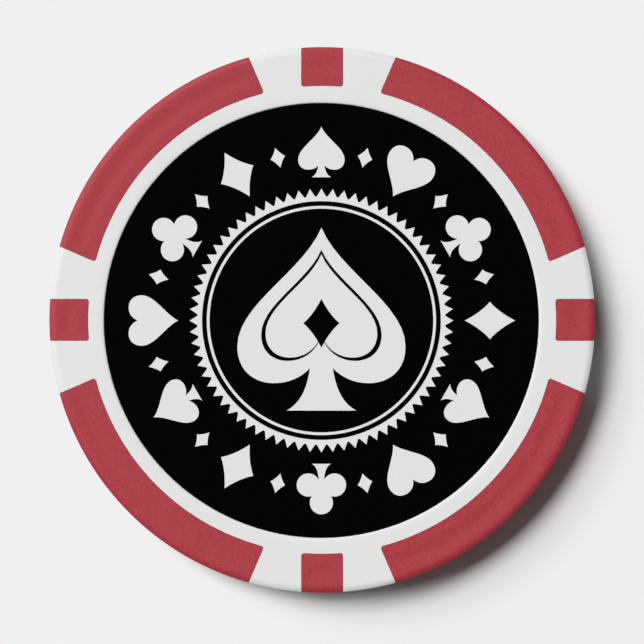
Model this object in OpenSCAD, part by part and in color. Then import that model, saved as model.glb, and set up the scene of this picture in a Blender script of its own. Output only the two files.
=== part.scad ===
// Poker chip: a white moulded body with red edge inserts keyed into it, a steel weight in the
// middle and a printed label in a shallow recess on each face.
// The chip lies on z = 0 with its axis along Z. Its front face is at the top.

/* [Chip] */
// Diameter over the rim
chip_diameter = 40; // [33:0.5:50]
// Thickness from face to face
chip_thickness = 3.3; // [2.8:0.1:5]
// Radius of the arc that rounds the edge of each face
rim_radius = 0.8; // [0.5:0.05:1.5]
// How far that arc falls before it meets the upright rim
rim_drop = 0.15; // [0.05:0.01:0.4]

/* [Label recess] */
// Width of the ring of face round the flat floor that the label is stuck to
face_width = 4.03; // [3:0.01:7]
// Depth of the floor below the face
recess_depth = 0.3; // [0.25:0.01:0.4]
// Radius of the arc that softens the edge of the recess
lip_radius = 0.5; // [0.3:0.05:2]
// How far that arc falls before it meets the wall of the recess
lip_drop = 0.05; // [0.02:0.01:0.15]

/* [Label] */
// Gap between the edge of the label and the wall of the recess
label_gap = 0.05; // [0.02:0.01:0.3]
// Thickness of the adhesive under the printed film
adhesive_thickness = 0.03; // [0.02:0.005:0.05]
// Thickness of the printed film
film_thickness = 0.1; // [0.05:0.01:0.12]
// Thickness of the clear wear film over the print
overlay_thickness = 0.05; // [0.02:0.01:0.07]

/* [Edge inserts] */
// Number of long inserts, with a short one between each two
insert_pairs = 4; // [3:1:6]
// Width of a short insert
short_width = 3.05; // [1.6:0.05:5]
// White gap between a short insert and a long one, across the middle of the band
white_gap = 3.3; // [1.5:0.1:4.5]
// Angle between the end of a long insert and the axis of the short insert beside it
end_lean = 23.4; // [5:0.1:40]
// White land between the recess and the inserts
inner_land = 0.96; // [0.3:0.01:1.2]
// Radius of the two inner corners of an insert
corner_radius = 0.2; // [0.1:0.05:0.45]

/* [Insert keys] */
// How far the dovetail key of an insert reaches into the body
key_depth = 0.6; // [0.3:0.05:1]
// Thickness of the key, which lies half-way up the chip
key_thickness = 1; // [0.5:0.1:1.4]
// Distance of the key's root from each end of the insert
key_setback = 0.5; // [0.45:0.05:0.7]
// Angle by which the key widens towards the middle of the chip
key_flare = 20; // [0:1:30]

/* [Moulding marks] */
// Width of the shallow sink along each face of an insert
sink_width = 1.6; // [0.6:0.1:2]
// Depth of the sink along its middle
sink_depth = 0.04; // [0.02:0.01:0.08]
// Diameter of the ejector mark on the front of a long insert
ejector_diameter = 1.2; // [0.6:0.05:1.3]
// Depth of the ejector mark below the sink
ejector_depth = 0.03; // [0.01:0.01:0.06]
// Distance from the rim to the middle of the ejector mark
ejector_inset = 1.35; // [1.35:0.05:1.6]
// Angle from the middle of a long insert to its ejector mark
ejector_angle = 13.5; // [0:0.5:18]

/* [Weight] */
// Plastic between the steel weight and the floor of each recess
cover_wall = 0.55; // [0.4:0.05:0.9]
// Plastic between the edge of the weight and the insert keys
slug_wall = 2; // [1:0.1:4]
// Radius of the rolled edges of the stamped weight
slug_edge_radius = 0.2; // [0.05:0.05:0.4]
// Number of mould pins that hold the weight from each face
pin_count = 3; // [2:1:6]
// Diameter of the hole that each mould pin leaves under the label
pin_diameter = 1.5; // [0.8:0.1:2.5]
// Diameter of the circle of pin holes
pin_circle = 18; // [6:1:22]

/* [Fit] */
// Clearance between faces that are moulded against each other
seam = 0.01; // [0.005:0.005:0.05]

/* [Hidden] */
$fn = 120;
// How far a cut runs past the face that it leaves through
overrun = 1;
// Where an insert's straight sides start, well inside its inner edge
near_share = 0.5;
// Distance of a corner's centre from the two edges, so that its arc crosses both
corner_share = 0.97;

chip_radius = chip_diameter / 2;
mid_height = chip_thickness / 2;
recess_radius = chip_radius - face_width;
label_radius = recess_radius - label_gap;
rim_run = run_of(rim_radius, rim_drop);
lip_run = run_of(lip_radius, lip_drop);

// The band of inserts, from the land beside the recess out to the rim
inner_radius = recess_radius + lip_run + inner_land;
mid_radius = (inner_radius + chip_radius) / 2;
half_pitch = 180 / insert_pairs;

// An insert's end: a point on it and its lean, with the insert's own axis along X
short_end = [mid_radius, short_width / 2, 0];
long_half_angle = half_pitch - asin((short_width / 2 + white_gap) / mid_radius);
long_end = [
    mid_radius * cos(long_half_angle),
    mid_radius * sin(long_half_angle),
    half_pitch - end_lean
];

sink_radius = (pow(sink_width / 2, 2) + pow(sink_depth, 2)) / (2 * sink_depth);

slug_radius = inner_radius - key_depth - slug_wall;
slug_thickness = chip_thickness - 2 * (recess_depth + cover_wall);

long_names = [for (i = [1:insert_pairs]) str("long_insert_", i)];
short_names = [for (i = [1:insert_pairs]) str("short_insert_", i)];
label_names = [
    for (face = ["front", "back"])
        for (layer = ["adhesive", "label", "overlay"])
            str(face, "_", layer)
];

// How far an arc that leaves a face level runs before it has fallen by a drop
function run_of(radius, drop) = sqrt(2 * radius * drop - pow(drop, 2));

// Lines in plan

// Direction of an end and its outward normal
function along(end) = [cos(end[2]), sin(end[2])];
function across(end) = [-sin(end[2]), cos(end[2])];

// A point on an end that is moved outwards by shift
function shifted(end, shift) = [end[0], end[1]] + shift * across(end);

// Half-width of the insert at a distance from the chip's centre along its axis
function half_width(end, shift, distance) =
    shifted(end, shift)[1] + (distance - shifted(end, shift)[0]) * tan(end[2]);

// Where the line from a point in a direction crosses a circle about the chip's centre
function on_ring(point, direction, radius) =
    let (offset = point * direction)
    point + direction * (sqrt(pow(offset, 2) - point * point + pow(radius, 2)) - offset);

// End of an insert's key: its root lies on the insert's inner edge, and it flares inwards
function key_end(end) =
    let (root = on_ring(shifted(end, -key_setback), along(end), inner_radius))
    [root[0], root[1], atan2(root[1], root[0]) - key_flare];

// Outlines in plan, grown by a clearance

// The space between an end and its mirror image, out to a distance from the centre
module wedge(end, grow, reach) {
    near = near_share * inner_radius;
    at_near = half_width(end, grow, near);
    at_reach = half_width(end, grow, reach);
    polygon([
        [near, -at_near],
        [reach, -at_reach],
        [reach, at_reach],
        [near, at_near]
    ]);
}

// What is cut away to round an insert's inner corner
module corner_waste(end, grow) {
    radius = corner_radius + grow;
    inset = corner_share * corner_radius;
    centre = on_ring(shifted(end, -inset), along(end), inner_radius + inset);
    outward = across(end) * 2 * radius;
    inward = -centre / norm(centre) * 2 * radius;
    translate(centre)
        difference() {
            polygon([[0, 0], outward, outward + inward, inward]);
            circle(r = radius);
        }
}

module insert_plan(end, grow) {
    difference() {
        wedge(end, grow, chip_radius + overrun);
        circle(r = inner_radius - grow);
        for (side = [0, 1])
            mirror([0, side, 0])
                corner_waste(end, grow);
    }
}

module key_plan(end, grow) {
    difference() {
        wedge(key_end(end), grow, inner_radius + corner_radius);
        circle(r = inner_radius - key_depth - grow);
    }
}

// Profiles turned about the chip's axis

// What an arc takes off the edge of a face, from the point where it leaves the face
module edge_waste(radius, run, depth) {
    difference() {
        translate([0, -depth])
            square([run + overrun, depth + overrun]);
        translate([0, -radius])
            circle(r = radius);
    }
}

module mirrored_halves() {
    children();
    translate([0, chip_thickness])
        mirror([0, 1, 0])
            children();
}

module chip_profile() {
    difference() {
        square([chip_radius, chip_thickness]);
        mirrored_halves()
            translate([chip_radius - rim_run, chip_thickness])
                edge_waste(rim_radius, rim_run, rim_radius);
    }
}

module recess_profile() {
    translate([0, chip_thickness - recess_depth])
        square([recess_radius, recess_depth + overrun]);
    translate([recess_radius + lip_run, chip_thickness])
        mirror([1, 0, 0])
            edge_waste(lip_radius, lip_run, recess_depth);
}

module slug_profile(grow) {
    radius = slug_radius + grow;
    height = slug_thickness + 2 * grow;
    edge = slug_edge_radius + grow;
    translate([0, mid_height - height / 2]) {
        square([radius - edge, height]);
        translate([0, edge])
            square([radius, height - 2 * edge]);
        for (level = [edge, height - edge])
            translate([radius - edge, level])
                circle(r = edge);
    }
}

// Places on the chip

module on_back() {
    translate([0, 0, chip_thickness])
        mirror([0, 0, 1])
            children();
}

module on_both_faces() {
    children();
    on_back()
        children();
}

module at_short(i) {
    rotate(2 * half_pitch * (i - 1))
        children();
}

module at_long(i) {
    rotate(2 * half_pitch * (i - 1) + half_pitch)
        children();
}

// Shapes shared by the pieces

// A profile turned about the chip's axis, with its seam on the side away from the insert
module turned() {
    rotate(180)
        rotate_extrude()
            children();
}

module key(end, grow) {
    height = key_thickness + 2 * grow;
    translate([0, 0, mid_height - height / 2])
        linear_extrude(height = height)
            key_plan(end, grow);
}

module through_chip() {
    translate([0, 0, -overrun])
        linear_extrude(height = chip_thickness + 2 * overrun)
            children();
}

// The pocket in the body that an insert and its key fill
module pocket(end) {
    through_chip()
        insert_plan(end, seam);
    key(end, seam);
}

module edge_insert(end) {
    difference() {
        intersection() {
            turned()
                chip_profile();
            through_chip()
                insert_plan(end, 0);
        }
        on_both_faces()
            turned()
                translate([mid_radius, chip_thickness + sink_radius - sink_depth])
                    circle(r = sink_radius);
    }
    key(end, 0);
}

module pin_hole() {
    translate([0, 0, mid_height])
        cylinder(d = pin_diameter, h = mid_height + overrun);
}

// One layer of the label, at a height above the floor of the recess
module label_layer(height, thickness) {
    translate([0, 0, chip_thickness - recess_depth + height])
        cylinder(r = label_radius, h = thickness);
}

// The pieces

// White body: one moulding round the weight, with the pockets for the inserts
module chip_body() {
    color("#e2e2e2")
        difference() {
            rotate_extrude()
                difference() {
                    chip_profile();
                    mirrored_halves()
                        recess_profile();
                }
            rotate_extrude()
                slug_profile(seam);
            on_both_faces()
                for (i = [1:pin_count])
                    rotate(360 / pin_count * i)
                        translate([pin_circle / 2, 0, 0])
                            pin_hole();
            for (i = [1:insert_pairs]) {
                at_short(i)
                    pocket(short_end);
                at_long(i)
                    pocket(long_end);
            }
        }
}

// Stamped steel disc with rolled edges
module weight_slug() {
    color("#a9abad")
        rotate_extrude()
            slug_profile(0);
}

// Red insert with leaning ends, and the mark of the ejector pin in its front
module long_insert(i) {
    color("#ab4149")
        at_long(i)
            difference() {
                edge_insert(long_end);
                rotate(ejector_angle)
                    translate([
                        chip_radius - ejector_inset,
                        0,
                        chip_thickness - sink_depth - ejector_depth
                    ])
                        cylinder(d = ejector_diameter, h = overrun);
            }
}

// Red insert with parallel sides
module short_insert(i) {
    color("#ab4149")
        at_short(i)
            edge_insert(short_end);
}

// Pressure-sensitive layer on the floor of the recess
module adhesive() {
    color("#d8d4c4")
        label_layer(0, adhesive_thickness);
}

// Printed film
module label() {
    color("#0d0d0d")
        label_layer(adhesive_thickness, film_thickness);
}

// Clear film that takes the wear
module overlay() {
    color("#ffffff", 0.25)
        label_layer(adhesive_thickness + film_thickness, overlay_thickness);
}

chip_body();
weight_slug();
for (i = [1:insert_pairs])
    long_insert(i);
for (i = [1:insert_pairs])
    short_insert(i);
adhesive();  // front_adhesive
label();  // front_label
overlay();  // front_overlay
on_back() adhesive();  // back_adhesive
on_back() label();  // back_label
on_back() overlay();  // back_overlay
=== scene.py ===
import math

import bmesh
import bpy
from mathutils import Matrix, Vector
from mathutils.geometry import delaunay_2d_cdt


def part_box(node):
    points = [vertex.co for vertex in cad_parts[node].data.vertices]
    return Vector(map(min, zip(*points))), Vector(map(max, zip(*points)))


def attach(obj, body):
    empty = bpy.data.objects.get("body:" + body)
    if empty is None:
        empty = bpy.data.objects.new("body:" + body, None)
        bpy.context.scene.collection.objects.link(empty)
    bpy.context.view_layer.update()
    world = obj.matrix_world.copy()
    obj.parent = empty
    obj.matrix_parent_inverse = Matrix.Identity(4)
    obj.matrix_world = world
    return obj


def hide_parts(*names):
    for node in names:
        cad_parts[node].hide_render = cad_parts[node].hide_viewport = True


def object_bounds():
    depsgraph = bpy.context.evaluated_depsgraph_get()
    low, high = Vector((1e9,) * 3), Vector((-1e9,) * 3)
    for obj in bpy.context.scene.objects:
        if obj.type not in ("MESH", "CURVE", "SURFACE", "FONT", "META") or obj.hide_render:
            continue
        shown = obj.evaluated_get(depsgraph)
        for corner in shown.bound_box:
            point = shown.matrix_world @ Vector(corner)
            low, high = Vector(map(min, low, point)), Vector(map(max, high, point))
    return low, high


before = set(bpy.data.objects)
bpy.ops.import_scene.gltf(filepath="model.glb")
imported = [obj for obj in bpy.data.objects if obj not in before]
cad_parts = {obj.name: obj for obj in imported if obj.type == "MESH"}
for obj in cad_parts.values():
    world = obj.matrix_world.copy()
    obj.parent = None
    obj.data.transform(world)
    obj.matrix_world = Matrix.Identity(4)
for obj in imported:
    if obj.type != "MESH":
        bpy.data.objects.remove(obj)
cad_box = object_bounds()
MM = 0.001

# Weight: a disc stamped from steel strip and zinc plated, which gives the chip its heft.
# The body is moulded round it, so it stays hidden unless the chip is cut open.


def linear(hex_colour):
    """Linear RGBA of an sRGB hex colour."""
    shares = [int(hex_colour[i:i + 2], 16) / 255 for i in (1, 3, 5)]
    return [s / 12.92 if s <= 0.04045 else ((s + 0.055) / 1.055) ** 2.4 for s in shares] + [1]


def add_node(tree, kind, inputs={}, **settings):
    """Adds a node with its settings. An input is a value, or the output of another node."""
    node = tree.nodes.new(kind)
    for name, value in settings.items():
        setattr(node, name, value)
    for name, value in inputs.items():
        if isinstance(value, bpy.types.NodeSocket):
            tree.links.new(value, node.inputs[name])
        else:
            node.inputs[name].default_value = value
    return node


def blank_material(name):
    """A material with an empty node tree."""
    material = bpy.data.materials.new(name)
    material.use_nodes = True
    material.node_tree.nodes.clear()
    return material


# Zinc plate on cold-rolled strip: a cool grey metal with streaks along the rolling direction.
zinc_plate = blank_material("zinc_plated_steel")
tree = zinc_plate.node_tree
place = add_node(tree, "ShaderNodeTexCoord")
streak_width, streak_length = 0.15 * MM, 6 * MM
stretched = add_node(tree, "ShaderNodeMapping", {
    "Vector": place.outputs["Object"],
    "Scale": (1 / streak_length, 1 / streak_width, 1 / streak_width),
})
streaks = add_node(tree, "ShaderNodeTexNoise", {"Vector": stretched.outputs[0], "Scale": 1, "Detail": 4})
zinc_colour = add_node(tree, "ShaderNodeMix", {
    "Factor": streaks.outputs[0], 6: linear("#9C9FA2"), 7: linear("#BCBEC0"),
}, data_type="RGBA")
zinc_gloss = add_node(tree, "ShaderNodeMapRange", {
    "Value": streaks.outputs[0], "To Min": 0.28, "To Max": 0.48,
})
zinc_relief = add_node(tree, "ShaderNodeBump", {"Height": streaks.outputs[0], "Distance": 0.004 * MM})
zinc_shader = add_node(tree, "ShaderNodeBsdfPrincipled", {
    "Base Color": zinc_colour.outputs[2],
    "Metallic": 1,
    "Roughness": zinc_gloss.outputs[0],
    "Normal": zinc_relief.outputs[0],
})
add_node(tree, "ShaderNodeOutputMaterial", {"Surface": zinc_shader.outputs[0]})
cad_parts["weight_slug"].material_slots[0].material = zinc_plate

# Body: one white ABS moulding with a shallow recess for a label in each face, a softly rounded
# rim, and a pocket for each edge insert. The inserts are moulded first and it flows round them.
chip_radius = cad_box[1].x
chip_height = cad_box[1].z
floor_depth = chip_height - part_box("front_adhesive")[0].z
recess_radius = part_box("front_overlay")[1].x + 0.02 * MM
recess_shift = Vector((-0.059, -0.046)) * MM
floor_radius = recess_radius + 0.07 * MM
lip_width = 0.8 * MM
lip_fall = 0.045 * MM
lip_softness = 0.14 * MM
lip_edge_fall = 0.04 * MM
lip_edge_softness = 0.03 * MM
rim_radius = 0.92 * MM
rim_tilt = math.radians(30.5)
rim_corner = 0.06 * MM

# The inserts, each with its own axis along X: a point on its end, and the lean of that end
inner_radius = 17.15 * MM
mid_radius = (inner_radius + chip_radius) / 2
pair_count = 4
half_pitch = math.pi / pair_count
short_width = 3.05 * MM
white_gap = 3.3 * MM
end_lean = math.radians(23.4)
corner_radius = 0.2 * MM
seam = 0.01 * MM
seam_round = 0.012 * MM
short_end = (mid_radius, short_width / 2, 0)
long_half_angle = half_pitch - math.asin((short_width / 2 + white_gap) / mid_radius)
long_end = (
    mid_radius * math.cos(long_half_angle),
    mid_radius * math.sin(long_half_angle),
    half_pitch - end_lean,
)


def steps(start, end, count):
    """Evenly spaced values, both ends among them."""
    return [start + (end - start) * i / (count - 1) for i in range(count)]


def at(radius, angle, height):
    """A point at a distance and an angle from the chip's axis."""
    return (radius * math.cos(angle), radius * math.sin(angle), height)


def end_angle(end, grow, radius):
    """Angle from an insert's axis to its end where a ring crosses it, with the inner corner rounded."""
    x, y, lean = end
    along = Vector((math.cos(lean), math.sin(lean)))
    across = Vector((-math.sin(lean), math.cos(lean)))

    def on_ring(point, ring):
        offset = point.dot(along)
        return point + along * (math.sqrt(offset ** 2 - point.length_squared + ring ** 2) - offset)

    corner = on_ring(Vector((x, y)) - corner_radius * across, inner_radius + corner_radius)
    arc = corner_radius + grow
    if radius < (corner + arc * across).length:
        cosine = (radius ** 2 + corner.length_squared - arc ** 2) / (2 * radius * corner.length)
        return math.atan2(corner.y, corner.x) + math.acos(min(1, cosine))
    crossing = on_ring(Vector((x, y)) + grow * across, radius)
    return math.atan2(crossing.y, crossing.x)


def rim_rows():
    """Rows over the rounded edge and down half the rim: radius, depth below the face and tilt."""
    start = chip_radius - rim_corner - (rim_radius - rim_corner) * math.sin(rim_tilt)
    rows = [
        (start + rim_radius * math.sin(tilt), rim_radius * (1 - math.cos(tilt)), tilt)
        for tilt in steps(0, rim_tilt, 10)
    ]
    centre_radius = chip_radius - rim_corner
    centre_depth = rim_radius - (rim_radius - rim_corner) * math.cos(rim_tilt)
    rows += [
        (centre_radius + rim_corner * math.sin(tilt), centre_depth - rim_corner * math.cos(tilt), tilt)
        for tilt in steps(rim_tilt, math.pi / 2, 6)[1:]
    ]
    rows += [(chip_radius, depth, math.pi / 2) for depth in steps(centre_depth, chip_height / 2, 4)[1:]]
    return rows


def face_rows(inner, row_count):
    """Rows across the flat band, close together where the inner corners curve."""
    bend = [
        inner + corner_radius * (1 - math.cos(turn))
        for turn in steps(0, math.pi / 2, 9)
    ]
    edge = [inner + seam_round * share for share in (0.3, 1)]
    flat = steps(bend[-1], rim_rows()[0][0], row_count)[1:-1]
    return [(radius, 0, 0) for radius in sorted(bend + edge + flat)]


def rounding(gap, inner_gap=seam_round):
    """How far the moulded edge beside a seam falls, at a distance from the ends and the inner edge."""
    side = max(0, 1 - gap / seam_round)
    inner = max(0, 1 - inner_gap / seam_round)
    return seam_round * (1 - math.sqrt(1 - min(1, side ** 2 + inner ** 2)))


def sector(rows, from_angle, to_angle, shares, fall):
    """Lines of points over both faces and the rim between two ends, from the front's inner edge to
    the back's. The columns crowd at the ends, and fall says how deep the surface is pressed."""
    beside_end = [0, 0.3 * seam_round, seam_round, 3 * seam_round]
    lines = []
    both_faces = [(True, row) for row in rows] + [(False, row) for row in rows[-2::-1]]
    for front, (radius, depth, tilt) in both_faces:
        first, last = from_angle(radius), to_angle(radius)
        near = [gap / radius for gap in beside_end]
        span = last - first - 2 * near[-1]
        angles = [first + gap for gap in near]
        angles += [first + near[-1] + span * share for share in shares]
        angles += [last - gap for gap in reversed(near)]
        line = []
        for angle in angles:
            gap = radius * min(angle - first, last - angle)
            pressed = fall(radius, angle, gap, front)
            level = depth + pressed * math.cos(tilt)
            height = chip_height - level if front else level
            line.append(at(radius - pressed * math.sin(tilt), angle, height))
        lines.append(line)
    return lines


def end_wall(lines, column):
    """The wall below one end of a sector, from its front edge to its back edge."""
    half = len(lines) // 2
    return [[lines[row][column], lines[-1 - row][column]] for row in range(half + 1)]


def mould(name, sheets, material):
    """A closed piece from sheets of points whose edges meet."""
    points, faces = [], []
    for sheet in sheets:
        width = len(sheet[0])
        for row in range(len(sheet) - 1):
            for column in range(width - 1):
                corner = len(points) + row * width + column
                faces.append((corner, corner + 1, corner + 1 + width, corner + width))
        points += [point for line in sheet for point in line]
    mesh = bpy.data.meshes.new(name)
    mesh.from_pydata(points, [], faces)
    shape = bmesh.new()
    shape.from_mesh(mesh)
    bmesh.ops.remove_doubles(shape, verts=shape.verts, dist=0.001 * MM)
    bmesh.ops.recalc_face_normals(shape, faces=shape.faces)
    shape.to_mesh(mesh)
    shape.free()
    mesh.shade_smooth()
    mesh.set_sharp_from_angle(angle=math.radians(35))
    mesh.materials.append(material)
    piece = bpy.data.objects.new(name, mesh)
    bpy.context.scene.collection.objects.link(piece)
    flat_faces = piece.modifiers.new("flat_faces", "WEIGHTED_NORMAL")
    flat_faces.keep_sharp = True
    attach(piece, "root")
    return piece


def flipped(sheet):
    """The same sheet on the other face."""
    return [[(x, y, chip_height - z) for x, y, z in line] for line in sheet]


def painted_rim_shade(tree, place):
    """The share of a plastic's colour that is left towards the rim: painted shade that darkens the rounded rim
    and tones down its highlight.
    """
    flat_place = add_node(tree, "ShaderNodeVectorMath", {
        0: place.outputs["Object"], 1: (1, 1, 0),
    }, operation="MULTIPLY")
    from_axis = add_node(tree, "ShaderNodeVectorMath", {0: flat_place.outputs[0]}, operation="LENGTH")
    rim_shade = add_node(tree, "ShaderNodeMapRange", {
        "Value": from_axis.outputs["Value"],
        "From Min": chip_radius - 0.35 * MM, "From Max": chip_radius - 0.1 * MM,
        "To Min": 1, "To Max": 0.92,
    })
    return rim_shade.outputs[0]


# White ABS from a lightly eroded mould: an even satin white with a soft sheen on the rounded rim,
# which is painted a touch darker towards its edge: painted shade that tones down the rim's highlight.
white_abs = blank_material("white_abs_satin")
tree = white_abs.node_tree
place = add_node(tree, "ShaderNodeTexCoord")
flow_size, grain_size = 7 * MM, 0.12 * MM
flow = add_node(tree, "ShaderNodeTexNoise", {
    "Vector": place.outputs["Object"], "Scale": 1 / flow_size, "Detail": 2,
})
grain = add_node(tree, "ShaderNodeTexNoise", {
    "Vector": place.outputs["Object"], "Scale": 1 / grain_size, "Detail": 3,
})
white_colour = add_node(tree, "ShaderNodeMix", {
    "Factor": flow.outputs[0], 6: linear("#E0E0E0"), 7: linear("#E4E4E4"),
}, data_type="RGBA")
# Painted shade: the white is darkened towards the rim, which tones down the rim's highlight
rim_shaded_white = add_node(tree, "ShaderNodeMix", {
    "Factor": 1.0, 6: white_colour.outputs[2], 7: painted_rim_shade(tree, place),
}, data_type="RGBA", blend_type="MULTIPLY")
white_gloss = add_node(tree, "ShaderNodeMapRange", {
    "Value": grain.outputs[0], "To Min": 0.55, "To Max": 0.7,
})
white_relief = add_node(tree, "ShaderNodeBump", {"Height": grain.outputs[0], "Distance": 0.002 * MM})
white_shader = add_node(tree, "ShaderNodeBsdfPrincipled", {
    "Base Color": rim_shaded_white.outputs[2],
    "Roughness": white_gloss.outputs[0],
    "IOR": 1.53,
    "Specular IOR Level": 0.25,
    "Normal": white_relief.outputs[0],
})
add_node(tree, "ShaderNodeOutputMaterial", {"Surface": white_shader.outputs[0]})

# White teeth between the inserts, and the inner wall of each pocket, in turn round the chip
pocket_radius = inner_radius - seam
tooth_rows = face_rows(pocket_radius, 9) + rim_rows()
insert_ends = [short_end, long_end] * pair_count
body_sheets, rim_line, round_share = [], [], []
for i, end in enumerate(insert_ends):
    axis = i * half_pitch
    next_axis, next_end = axis + half_pitch, insert_ends[(i + 1) % len(insert_ends)]
    tooth = sector(
        tooth_rows,
        lambda radius: axis + end_angle(end, seam, radius),
        lambda radius: next_axis - end_angle(next_end, seam, radius),
        steps(0, 1, 9)[1:-1],
        lambda radius, angle, gap, front: rounding(gap),
    )
    reach = end_angle(end, seam, pocket_radius)
    edge_length = 2 * reach * pocket_radius
    pocket_edge = [
        at(pocket_radius, axis + reach * share, chip_height - seam_round)
        for share in steps(-1, 1, round(edge_length / (0.4 * MM)))
    ]
    pocket_wall = [pocket_edge, flipped([pocket_edge])[0]]
    body_sheets += [tooth, end_wall(tooth, 0), end_wall(tooth, -1), pocket_wall]
    rim_line += pocket_edge + tooth[0][1:-1]
    round_share += [1] * len(pocket_edge) + [0] * (len(tooth[0]) - 2)
rim_line.append(rim_line[0])
round_share.append(round_share[0])

# The disc inside the pockets: the floor of the recess, its wall, the soft lip and the white land.
# The mouth of the recess lies a hair off the chip's axis, and the label with it
disc_rows = [(radius, floor_depth, 0) for radius in steps(0, floor_radius, 3)]
for run in [lip_width * share ** 2 for share in steps(0, 1, 20)]:
    soft_fall = lip_fall * math.exp(-run / lip_softness)
    edge_fall = lip_edge_fall * math.exp(-run / lip_edge_softness)
    disc_rows.append((recess_radius + run, soft_fall + edge_fall, min(1, 2 * (1 - run / lip_width))))
disc_rows += [(pocket_radius - seam_round * gap, 0, 0) for gap in (3, 1, 0.3)]
disc = []
for radius, depth, follow in disc_rows:
    line = []
    shift = follow * recess_shift.to_3d()
    for (x, y, _), share in zip(rim_line, round_share):
        pressed = share * rounding(pocket_radius - radius)
        line.append(shift + Vector(at(radius, math.atan2(y, x), chip_height - depth - pressed)))
    disc.append(line)
disc.append(rim_line)
body_sheets += [disc, flipped(disc)]
white_body = mould("white_body", body_sheets, white_abs)
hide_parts("chip_body")

# Edge inserts: eight red ABS mouldings, four long ones with leaning ends and four short ones with
# parallel sides. The thick plastic has sunk a little along the middle of each face, and three of the
# long ones keep the faint raised pad of an ejector pin in the front.
sink_ring = 18.6 * MM
sink_half_width = 0.85 * MM
sink_depth = 0.037 * MM
sink_fade = 1.1 * MM
mark_ring = 18.65 * MM
mark_angle = math.radians(13.5)
mark_radius = 0.8 * MM
mark_rise = 0.012 * MM
mark_edge = 0.2 * MM
marked_inserts = (1, 3, 4)
insert_rows = face_rows(inner_radius, 34) + rim_rows()

# Red ABS from a spark-eroded mould: a dull brick red with a fine matt grain that breaks up the
# sheen. The real grit is finer, and is drawn at a quarter of a millimetre so that it shows.
red_abs = blank_material("red_abs_matt")
tree = red_abs.node_tree
place = add_node(tree, "ShaderNodeTexCoord")
cloud_size, grit_size = 2.5 * MM, 0.25 * MM
clouds = add_node(tree, "ShaderNodeTexNoise", {
    "Vector": place.outputs["Object"], "Scale": 1 / cloud_size, "Detail": 2,
})
grit = add_node(tree, "ShaderNodeTexNoise", {
    "Vector": place.outputs["Object"], "Scale": 1 / grit_size, "Detail": 3, "Roughness": 0.6,
})
grit_share = add_node(tree, "ShaderNodeMapRange", {
    "Value": grit.outputs[0], "From Min": 0.3, "From Max": 0.7,
})
grit_colour = add_node(tree, "ShaderNodeMix", {
    "Factor": grit_share.outputs[0], 6: linear("#9E1927"), 7: linear("#AC303E"),
}, data_type="RGBA")
cloud_tone = add_node(tree, "ShaderNodeMapRange", {
    "Value": clouds.outputs[0], "To Min": 0.96, "To Max": 1.04,
})
red_colour = add_node(tree, "ShaderNodeMix", {
    "Factor": 1.0, 6: grit_colour.outputs[2], 7: cloud_tone.outputs[0],
}, data_type="RGBA", blend_type="MULTIPLY")
# Painted shade: the red is darkened towards the rim, which tones down the rim's highlight
rim_shaded_red = add_node(tree, "ShaderNodeMix", {
    "Factor": 1.0, 6: red_colour.outputs[2], 7: painted_rim_shade(tree, place),
}, data_type="RGBA", blend_type="MULTIPLY")
red_gloss = add_node(tree, "ShaderNodeMapRange", {
    "Value": grit.outputs[0], "To Min": 0.58, "To Max": 0.74,
})
red_relief = add_node(tree, "ShaderNodeBump", {"Height": grit.outputs[0], "Distance": 0.016 * MM})
red_shader = add_node(tree, "ShaderNodeBsdfPrincipled", {
    "Base Color": rim_shaded_red.outputs[2],
    "Roughness": red_gloss.outputs[0],
    "IOR": 1.53,
    "Normal": red_relief.outputs[0],
})
add_node(tree, "ShaderNodeOutputMaterial", {"Surface": red_shader.outputs[0]})


def smooth(share):
    """Eases from 0 to 1."""
    share = max(0, min(1, share))
    return share * share * (3 - 2 * share)


def insert(name, axis, end, shares, marked):
    """One insert, with its sunk faces, rounded edges and, if marked, the pad of its ejector pin."""
    mark_place = Vector(at(mark_ring, axis + mark_angle, 0))

    def fall(radius, angle, gap, front):
        off_middle = min(1, abs(radius - sink_ring) / sink_half_width)
        sunk = sink_depth * (1 + math.cos(math.pi * off_middle)) / 2 * smooth(gap / sink_fade)
        if marked and front:
            off_mark = (Vector(at(radius, angle, 0)) - mark_place).length - mark_radius
            sunk -= mark_rise * smooth(0.5 - off_mark / mark_edge)
        return sunk + rounding(gap, radius - inner_radius)

    lines = sector(
        insert_rows,
        lambda radius: axis - end_angle(end, 0, radius),
        lambda radius: axis + end_angle(end, 0, radius),
        shares,
        fall,
    )
    inner_wall = [lines[0], lines[-1]]
    piece = mould("red_" + name, [lines, end_wall(lines, 0), end_wall(lines, -1), inner_wall], red_abs)
    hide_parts(name)


# Columns across a long insert, closer together where the pad is
mark_share = (1 + mark_angle / long_half_angle) / 2
mark_reach = 1.3 * mark_radius / (2 * long_half_angle * mid_radius)
long_shares = sorted(
    [share for share in steps(0, 1, 44)[1:-1] if abs(share - mark_share) > mark_reach]
    + steps(mark_share - mark_reach, mark_share + mark_reach, 40)
)
short_shares = steps(0, 1, 12)[1:-1]
for i in range(pair_count):
    insert(f"short_insert_{i + 1}", 2 * i * half_pitch, short_end, short_shares, False)
    insert(f"long_insert_{i + 1}", (2 * i + 1) * half_pitch, long_end, long_shares, i + 1 in marked_inserts)

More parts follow.
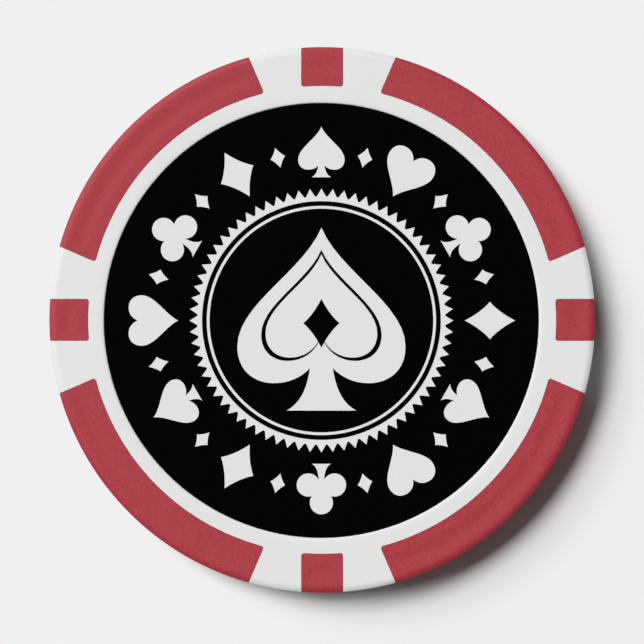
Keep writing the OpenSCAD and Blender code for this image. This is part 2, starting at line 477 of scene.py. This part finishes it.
# Adhesive: the pressure-sensitive acrylic layer that holds each label on the floor of its recess.
# Only its cut edge could show, beside the label.
acrylic = blank_material("acrylic_adhesive")
tree = acrylic.node_tree
place = add_node(tree, "ShaderNodeTexCoord")
ripple_size = 0.8 * MM
ripples = add_node(tree, "ShaderNodeTexNoise", {
    "Vector": place.outputs["Object"], "Scale": 1 / ripple_size, "Detail": 3,
})
acrylic_colour = add_node(tree, "ShaderNodeMix", {
    "Factor": ripples.outputs[0], 6: linear("#D3CEBC"), 7: linear("#E0DCCE"),
}, data_type="RGBA")
acrylic_gloss = add_node(tree, "ShaderNodeMapRange", {
    "Value": ripples.outputs[0], "To Min": 0.35, "To Max": 0.6,
})
acrylic_relief = add_node(tree, "ShaderNodeBump", {"Height": ripples.outputs[0], "Distance": 0.005 * MM})
acrylic_shader = add_node(tree, "ShaderNodeBsdfPrincipled", {
    "Base Color": acrylic_colour.outputs[2],
    "Roughness": acrylic_gloss.outputs[0],
    "IOR": 1.47,
    "Normal": acrylic_relief.outputs[0],
})
add_node(tree, "ShaderNodeOutputMaterial", {"Surface": acrylic_shader.outputs[0]})
for face in ("front", "back"):
    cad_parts[face + "_adhesive"].material_slots[0].material = acrylic

# Labels: white vinyl printed black, with a clear gloss film over the print, die-cut as a disc.
# The print leaves the white of the film: a large spade in a ring, and the four suits in turn
# round the edge.
label_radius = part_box("front_overlay")[1].x
label_roll = 0.01 * MM
label_roll_fall = 0.01 * MM


def curve(corners, count=14):
    """Points along a chain of cubic curves, three control points to a curve after the first point."""
    points = [corners[0]]
    for i in range(0, len(corners) - 1, 3):
        a, b, c, d = corners[i:i + 4]
        for t in steps(0, 1, count)[1:]:
            u = 1 - t
            weights = (u ** 3, 3 * u * u * t, 3 * u * t * t, t ** 3)
            points.append(tuple(
                sum(w * p[k] for w, p in zip(weights, (a, b, c, d))) for k in (0, 1)
            ))
    return points


def both_sides(half):
    """A closed outline from its right half, which runs down from the axis and back to it."""
    return [(-x, y) for x, y in half[1:-1]] + half[::-1]


def disc_outline(x, y, radius, count=240):
    """A circle as a closed outline."""
    return [
        (x + radius * math.cos(turn), y + radius * math.sin(turn))
        for turn in steps(0, 2 * math.pi, count + 1)[:-1]
    ]


# The four suits, one unit high, as outlines that may overlap
stem = both_sides([
    (0, -0.05), *curve([(0.05, -0.05), (0.05, -0.3), (0.08, -0.44), (0.19, -0.5)]), (0, -0.5),
])
leaf = both_sides(curve([
    (0, 0.5), (0.1, 0.26), (0.46, 0.08), (0.46, -0.15),
    (0.46, -0.28), (0.37, -0.35), (0.26, -0.35), (0.13, -0.35), (0.03, -0.27), (0, -0.15),
]))
heart = both_sides(curve([
    (0, 0.3), (0.05, 0.42), (0.14, 0.48), (0.26, 0.48),
    (0.4, 0.48), (0.5, 0.38), (0.5, 0.22), (0.5, -0.04), (0.12, -0.25), (0, -0.5),
]))
diamond = both_sides(curve([
    (0, 0.5), (0.1, 0.3), (0.22, 0.13), (0.37, 0), (0.22, -0.13), (0.1, -0.3), (0, -0.5),
]))
lobes = [disc_outline(x, y, 0.23, 40) for x, y in ((0, 0.27), (-0.26, -0.08), (0.26, -0.08))]
spade_pip, heart_pip = [leaf, stem], [heart]
club_pip, diamond_pip = [*lobes, disc_outline(0, 0.03, 0.13, 16), stem], [diamond]


def placed(outlines, size, radius, turn):
    """Outlines scaled and set at a distance from the middle, with their tops pointing outwards."""
    made = []
    for outline in outlines:
        moved = [(x * size, y * size + radius) for x, y in outline]
        made.append([
            (x * math.cos(turn) + y * math.sin(turn), y * math.cos(turn) - x * math.sin(turn))
            for x, y in moved
        ])
    return made


# The print, from the bottom up: white areas, or black over them. First the two lines of the ring
print_areas = []
for outer, inner in ((9.1 * MM, 8.75 * MM), (8.4 * MM, 8.2 * MM)):
    print_areas += [(True, disc_outline(0, 0, outer)), (False, disc_outline(0, 0, inner))]

# The suits in turn outside the ring, with a small diamond between each two
suits = [spade_pip, heart_pip, club_pip, diamond_pip]
pip_count = 12
pip_ring, pip_size, spot_size = 12.35 * MM, 3.7 * MM, 1.5 * MM
for i in range(pip_count):
    turn = 2 * math.pi * i / pip_count
    pip = placed(suits[i % len(suits)], pip_size, pip_ring, turn)
    spot = placed(diamond_pip, spot_size, pip_ring, turn + math.pi / pip_count)
    print_areas += [(True, outline) for outline in pip + spot]

# The darts round the ring
dart_count = 72
dart_ring, dart_width, dart_length = 9.05 * MM, 0.72 * MM, 0.62 * MM
dart = [(-dart_width / 2, 0), (dart_width / 2, 0), (0, dart_length)]
for i in range(dart_count):
    print_areas.append((True, placed([dart], 1, dart_ring, 2 * math.pi * i / dart_count)[0]))

# The large spade: white leaf and stem, a black line inside the leaf, and a black diamond
for white, outlines, size, rise in (
    (True, spade_pip, 13.4 * MM, 0.1 * MM),
    (False, [leaf], 9.6 * MM, 0.4 * MM),
    (True, [leaf], 8.9 * MM, 0.4 * MM),
    (False, diamond_pip, 3.6 * MM, -0.2 * MM),
):
    print_areas += [(white, outline) for outline in placed(outlines, size, rise, 0)]


# Printed vinyl under a clear film: deep black and clean white, both under one smooth gloss.
def printed_vinyl(name, colour, other_colour):
    """One colour of the print, which varies between two tones."""
    material = blank_material(name)
    tree = material.node_tree
    place = add_node(tree, "ShaderNodeTexCoord")
    dot_size, peel_size = 0.18 * MM, 0.9 * MM
    dots = add_node(tree, "ShaderNodeTexNoise", {
        "Vector": place.outputs["Object"], "Scale": 1 / dot_size, "Detail": 2,
    })
    peel = add_node(tree, "ShaderNodeTexNoise", {
        "Vector": place.outputs["Object"], "Scale": 1 / peel_size, "Detail": 1,
    })
    ink = add_node(tree, "ShaderNodeMix", {
        "Factor": dots.outputs[0], 6: linear(colour), 7: linear(other_colour),
    }, data_type="RGBA")
    gloss = add_node(tree, "ShaderNodeMapRange", {"Value": dots.outputs[0], "To Min": 0.06, "To Max": 0.1})
    relief = add_node(tree, "ShaderNodeBump", {"Height": peel.outputs[0], "Distance": 0.001 * MM})
    shader = add_node(tree, "ShaderNodeBsdfPrincipled", {
        "Base Color": ink.outputs[2],
        "Roughness": gloss.outputs[0],
        "IOR": 1.5,
        "Specular IOR Level": 0.3,
        "Normal": relief.outputs[0],
    })
    add_node(tree, "ShaderNodeOutputMaterial", {"Surface": shader.outputs[0]})
    return material


black_print = printed_vinyl("black_print_on_vinyl", "#040404", "#060606")
white_vinyl = printed_vinyl("white_vinyl", "#E2E2E2", "#E6E6E6")


def printed_disc(name, bottom, top):
    """A label whose printed side is at the height top: the print, the rolled cut edge and the back."""
    facing = 1 if top > bottom else -1
    flat_radius = label_radius - label_roll
    outlines = [(False, disc_outline(0, 0, flat_radius)), *print_areas]
    points, faces = [], []
    for _, outline in outlines:
        faces.append(list(range(len(points), len(points) + len(outline))))
        points += [Vector(point) / MM for point in outline]
    made, _, triangles, _, _, sources = delaunay_2d_cdt(points, [], faces, 0, 1e-5)
    shape = bmesh.new()
    shift = recess_shift.to_3d()
    print_points = [shape.verts.new(shift + Vector((p.x * MM, facing * p.y * MM, top))) for p in made]
    for triangle, covers in zip(triangles, sources):
        area = shape.faces.new([print_points[i] for i in triangle])
        area.material_index = int(outlines[max(covers)][0])
    roll = top - facing * label_roll_fall
    rings = [(flat_radius, top), ((flat_radius + label_radius) / 2, (3 * top + roll) / 4),
             (label_radius, roll), (label_radius, bottom)]
    loops = [
        [shape.verts.new(shift + Vector((x, facing * y, height))) for x, y in disc_outline(0, 0, radius)]
        for radius, height in rings
    ]
    for depth, (upper, lower) in enumerate(zip(loops, loops[1:])):
        for i in range(len(upper)):
            side = shape.faces.new((upper[i - 1], upper[i], lower[i], lower[i - 1]))
            side.material_index = int(depth == 2)
    shape.faces.new(loops[-1]).material_index = 1
    bmesh.ops.remove_doubles(shape, verts=shape.verts, dist=0.0001 * MM)
    bmesh.ops.recalc_face_normals(shape, faces=shape.faces)
    mesh = bpy.data.meshes.new(name)
    shape.to_mesh(mesh)
    shape.free()
    mesh.shade_smooth()
    mesh.set_sharp_from_angle(angle=math.radians(8))
    mesh.materials.append(black_print)
    mesh.materials.append(white_vinyl)
    piece = bpy.data.objects.new(name, mesh)
    bpy.context.scene.collection.objects.link(piece)
    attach(piece, "root")
    return piece


front_print = printed_disc("front_printed_label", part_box("front_label")[0].z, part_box("front_overlay")[1].z)
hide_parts("front_label", "front_overlay")
back_print = printed_disc("back_printed_label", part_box("back_label")[1].z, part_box("back_overlay")[0].z)
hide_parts("back_label", "back_overlay")

# Table: a plain pale sheet that the chip lies on, on its back, and that takes its shadow. Seen
# directly, the sheet keeps its own even tone on the lit side, and that tone is also painted over the
# shadow's two sides, which thins them out: painted light.


def seen_directly(tree):
    """1 for rays from the camera, from a reflection or through something clear, and 0 for light."""
    ray = add_node(tree, "ShaderNodeLightPath")
    camera_or_gloss = add_node(tree, "ShaderNodeMath", {
        0: ray.outputs["Is Camera Ray"], 1: ray.outputs["Is Glossy Ray"],
    }, operation="MAXIMUM")
    seen = add_node(tree, "ShaderNodeMath", {
        0: camera_or_gloss.outputs[0], 1: ray.outputs["Is Transmission Ray"],
    }, operation="MAXIMUM")
    return seen.outputs[0]


# Uncoated pale paper, with no sheen and no pattern of its own
table_paper = blank_material("pale_table")
tree = table_paper.node_tree
table_colour = linear("#F0F0F0")
lamp_angle = math.radians(141.5)
to_lamps = (math.cos(lamp_angle), math.sin(lamp_angle), 0)
place = add_node(tree, "ShaderNodeTexCoord")
towards_lamps = add_node(tree, "ShaderNodeVectorMath", {
    0: place.outputs["Object"], 1: to_lamps,
}, operation="DOT_PRODUCT")
from_middle = add_node(tree, "ShaderNodeVectorMath", {0: place.outputs["Object"]}, operation="LENGTH")
off_edge = add_node(tree, "ShaderNodeMapRange", {
    "Value": from_middle.outputs["Value"], "From Min": chip_radius, "From Max": 1.05 * chip_radius,
    "To Min": -0.21 * chip_radius, "To Max": 0.14 * chip_radius,
})
lamp_side_and_edge_gap = add_node(tree, "ShaderNodeMath", {
    0: towards_lamps.outputs["Value"], 1: off_edge.outputs[0],
}, operation="ADD")
# Painted light: towards the two sides of the shadow, this mask mixes the sheet's even tone in over the shadow
# and lightens it
lit_side_and_shadow_flanks = add_node(tree, "ShaderNodeMapRange", {
    "Value": lamp_side_and_edge_gap.outputs[0], "From Min": -0.85 * chip_radius, "From Max": 0.15 * chip_radius,
})
beside_chip = add_node(tree, "ShaderNodeMapRange", {
    "Value": from_middle.outputs["Value"],
    "From Min": 0.985 * chip_radius, "From Max": 1.005 * chip_radius,
})
even_tone_share = add_node(tree, "ShaderNodeMath", {
    0: lit_side_and_shadow_flanks.outputs[0], 1: beside_chip.outputs[0],
}, operation="MULTIPLY")
plain = add_node(tree, "ShaderNodeMath", {
    0: even_tone_share.outputs[0], 1: seen_directly(tree),
}, operation="MULTIPLY")
shaded_paper = add_node(tree, "ShaderNodeBsdfDiffuse", {"Color": table_colour})
plain_paper = add_node(tree, "ShaderNodeEmission", {"Color": table_colour})
table_shader = add_node(tree, "ShaderNodeMixShader", {
    0: plain.outputs[0], 1: shaded_paper.outputs[0], 2: plain_paper.outputs[0],
})
add_node(tree, "ShaderNodeOutputMaterial", {"Surface": table_shader.outputs[0]})
table_reach = 2.0
table_gap = 0.02 * MM
table_corners = [(-1, -1), (1, -1), (1, 1), (-1, 1)]
table_mesh = bpy.data.meshes.new("table")
table_mesh.from_pydata(
    [(x * table_reach, y * table_reach, -table_gap) for x, y in table_corners], [], [(0, 1, 2, 3)],
)
table_mesh.materials.append(table_paper)
table = bpy.data.objects.new("table", table_mesh)
bpy.context.scene.collection.objects.link(table)

# Light: two round softboxes one above the other at the upper left, which give the shadow a firm
# core and a long soft edge, and a dim room that is pale near the horizon and dark overhead.
lamp_distance = 5
lamp_spread = math.radians(10.7)
for name, height, share in (
    ("upper_softbox", math.radians(57.7), 0.74),
    ("lower_softbox", math.radians(38.8), 0.21),
):
    softbox_data = bpy.data.lights.new(name, "AREA")
    softbox_data.shape = "DISK"
    softbox_data.size = 2 * lamp_distance * math.tan(lamp_spread)
    softbox_data.energy = share * (math.pi * lamp_distance) ** 2 / math.sin(height)
    softbox = bpy.data.objects.new(name, softbox_data)
    softbox.location = lamp_distance * Vector((
        math.cos(lamp_angle) * math.cos(height),
        math.sin(lamp_angle) * math.cos(height),
        math.sin(height),
    ))
    softbox.rotation_euler = softbox.location.to_track_quat("Z", "Y").to_euler()
    bpy.context.scene.collection.objects.link(softbox)

room = bpy.data.worlds.new("room")
room.use_nodes = True
tree = room.node_tree
tree.nodes.clear()
direction = add_node(tree, "ShaderNodeTexCoord")
upwards = add_node(tree, "ShaderNodeSeparateXYZ", {0: direction.outputs["Generated"]})
overhead = add_node(tree, "ShaderNodeMapRange", {
    "Value": upwards.outputs["Z"], "From Min": 0.3, "From Max": 0.75,
})
walls = add_node(tree, "ShaderNodeMix", {
    "Factor": overhead.outputs[0], 6: linear("#F0F0F0"), 7: linear("#141414"),
}, data_type="RGBA")
seen_walls = add_node(tree, "ShaderNodeBackground", {"Color": walls.outputs[2]})
dim_fill = add_node(tree, "ShaderNodeBackground", {"Color": linear("#FFFFFF"), "Strength": 0.075})
both = add_node(tree, "ShaderNodeMixShader", {
    0: seen_directly(tree), 1: dim_fill.outputs[0], 2: seen_walls.outputs[0],
})
add_node(tree, "ShaderNodeOutputWorld", {"Surface": both.outputs[0]})
bpy.context.scene.world = room
bpy.context.scene.view_settings.view_transform = "Standard"

# Camera: a long lens straight above the chip, so that no side of it shows. The chip fills most of
# the square picture, and its centre is a little above the middle.
picture_pixels = 644
pixels_per_mm = 13.65
centre_shift = Vector((-0.2, -2.1)) / pixels_per_mm * MM
camera_data = bpy.data.cameras.new("camera")
camera_data.lens = 250
view_width = picture_pixels / pixels_per_mm * MM
camera_height = chip_height + camera_data.lens / camera_data.sensor_width * view_width
camera = bpy.data.objects.new("camera", camera_data)
camera.location = (centre_shift.x, centre_shift.y, camera_height)
bpy.context.scene.collection.objects.link(camera)
bpy.context.scene.camera = camera
